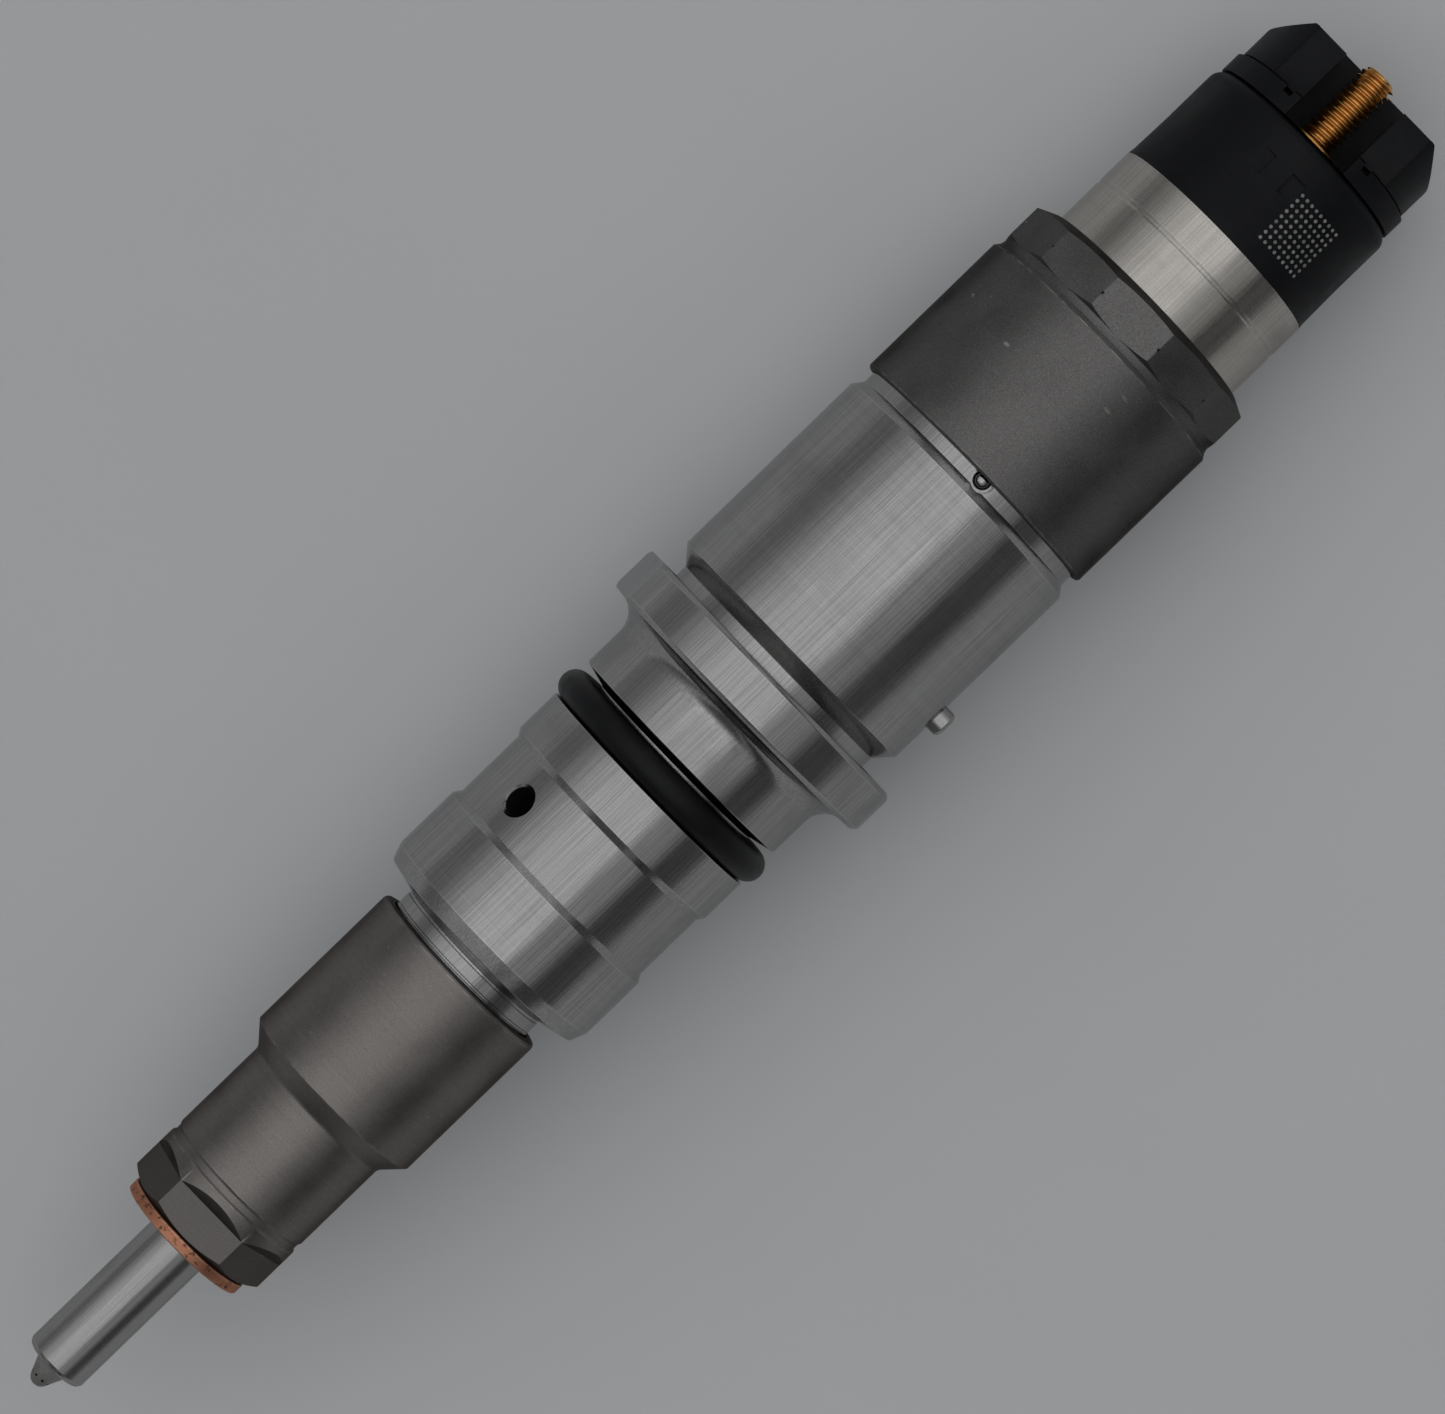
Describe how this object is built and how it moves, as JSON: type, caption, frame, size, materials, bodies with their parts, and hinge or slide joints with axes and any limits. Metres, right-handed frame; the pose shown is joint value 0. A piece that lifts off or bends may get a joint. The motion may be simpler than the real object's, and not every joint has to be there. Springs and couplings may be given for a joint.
{
  "type": "fuel injector",
  "caption": "Long stepped injector with a slim nozzle, copper seal washer, clamp flange, rubber ring, wrench nut and a cap with threaded studs.",
  "frame": {"origin": "on the injector's axis, at the copper washer's sealing face", "axes": "+X along the axis, from the nozzle's tip to the electrical studs; +Z towards the viewer's side of the lying injector; +Y completes the frame"},
  "size_m": [0.187, 0.0345, 0.035],
  "materials": {
    "turned_steel": "fine turned, bright",
    "satin_steel": "satin, fine turned",
    "ground_steel": "ground and lapped",
    "spring_steel": "drawn wire",
    "ball_steel": "polished",
    "phosphate_steel": "dark phosphate coat, fine grain",
    "magnet_iron": "pressed iron powder",
    "copper": "soft copper, satin",
    "stud_brass": "bright brass",
    "ring_rubber": "satin",
    "cap_plastic": "moulded, fine texture"
  },
  "bodies": {
    "injector": {"nozzle_body": "ground_steel", "nozzle_dowel_pins": "ground_steel", "sealing_washer": "copper", "nozzle_nut": "phosphate_steel", "nozzle_spring": "spring_steel", "nozzle_spring_shim": "ground_steel", "injector_body": "turned_steel", "body_o_ring": "ring_rubber", "locating_pin": "ground_steel", "leak_plug_ball": "ball_steel", "valve_piece": "ground_steel", "valve_seal_ring": "cap_plastic", "armature_guide": "ground_steel", "valve_clamp_screw": "ground_steel", "armature_spring": "spring_steel", "stroke_shim": "ground_steel", "magnet_core": "magnet_iron", "coil_bobbin": "cap_plastic", "coil_winding": "copper", "coil_pins": "stud_brass", "valve_spring": "spring_steel", "valve_spring_shim": "ground_steel", "core_end_plug": "ground_steel", "solenoid_housing": "satin_steel", "solenoid_o_ring": "ring_rubber", "solenoid_nut": "phosphate_steel", "terminal_stud_front": "stud_brass", "terminal_stud_rear": "stud_brass", "contact_washers": "stud_brass", "connector_cap": "cap_plastic"},
    "needle": {"nozzle_needle": "ground_steel", "pressure_pin": "ground_steel"},
    "piston": {"control_piston": "ground_steel"},
    "armature_rod": {"armature_pin": "ground_steel", "armature_stop_washer": "ground_steel"},
    "ball": {"valve_ball": "ball_steel", "ball_holder": "ground_steel"},
    "armature_disc": {"armature_plate": "magnet_iron"}
  },
  "joints": [
    {"name": "needle_lift", "type": "slide", "parent": "injector", "child": "needle", "axis": [1, 0, 0], "range_m": [0, 0.00025], "deforming": ["nozzle_spring"]},
    {"name": "piston_lift", "type": "slide", "parent": "injector", "child": "piston", "axis": [1, 0, 0], "range_m": [0, 0.00025]},
    {"name": "armature_lift", "type": "slide", "parent": "injector", "child": "armature_rod", "axis": [1, 0, 0], "range_m": [0, 0.00005], "deforming": ["valve_spring"]},
    {"name": "ball_lift", "type": "slide", "parent": "injector", "child": "ball", "axis": [1, 0, 0], "range_m": [0, 0.00005]},
    {"name": "armature_overtravel", "type": "slide", "parent": "armature_rod", "child": "armature_disc", "axis": [1, 0, 0], "range_m": [-0.00004, 0], "deforming": ["armature_spring"]}
  ],
  "couplings": [
    {"joint": "piston_lift", "follows": "needle_lift", "ratio": 1},
    {"joint": "ball_lift", "follows": "armature_lift", "ratio": 1}
  ]
}
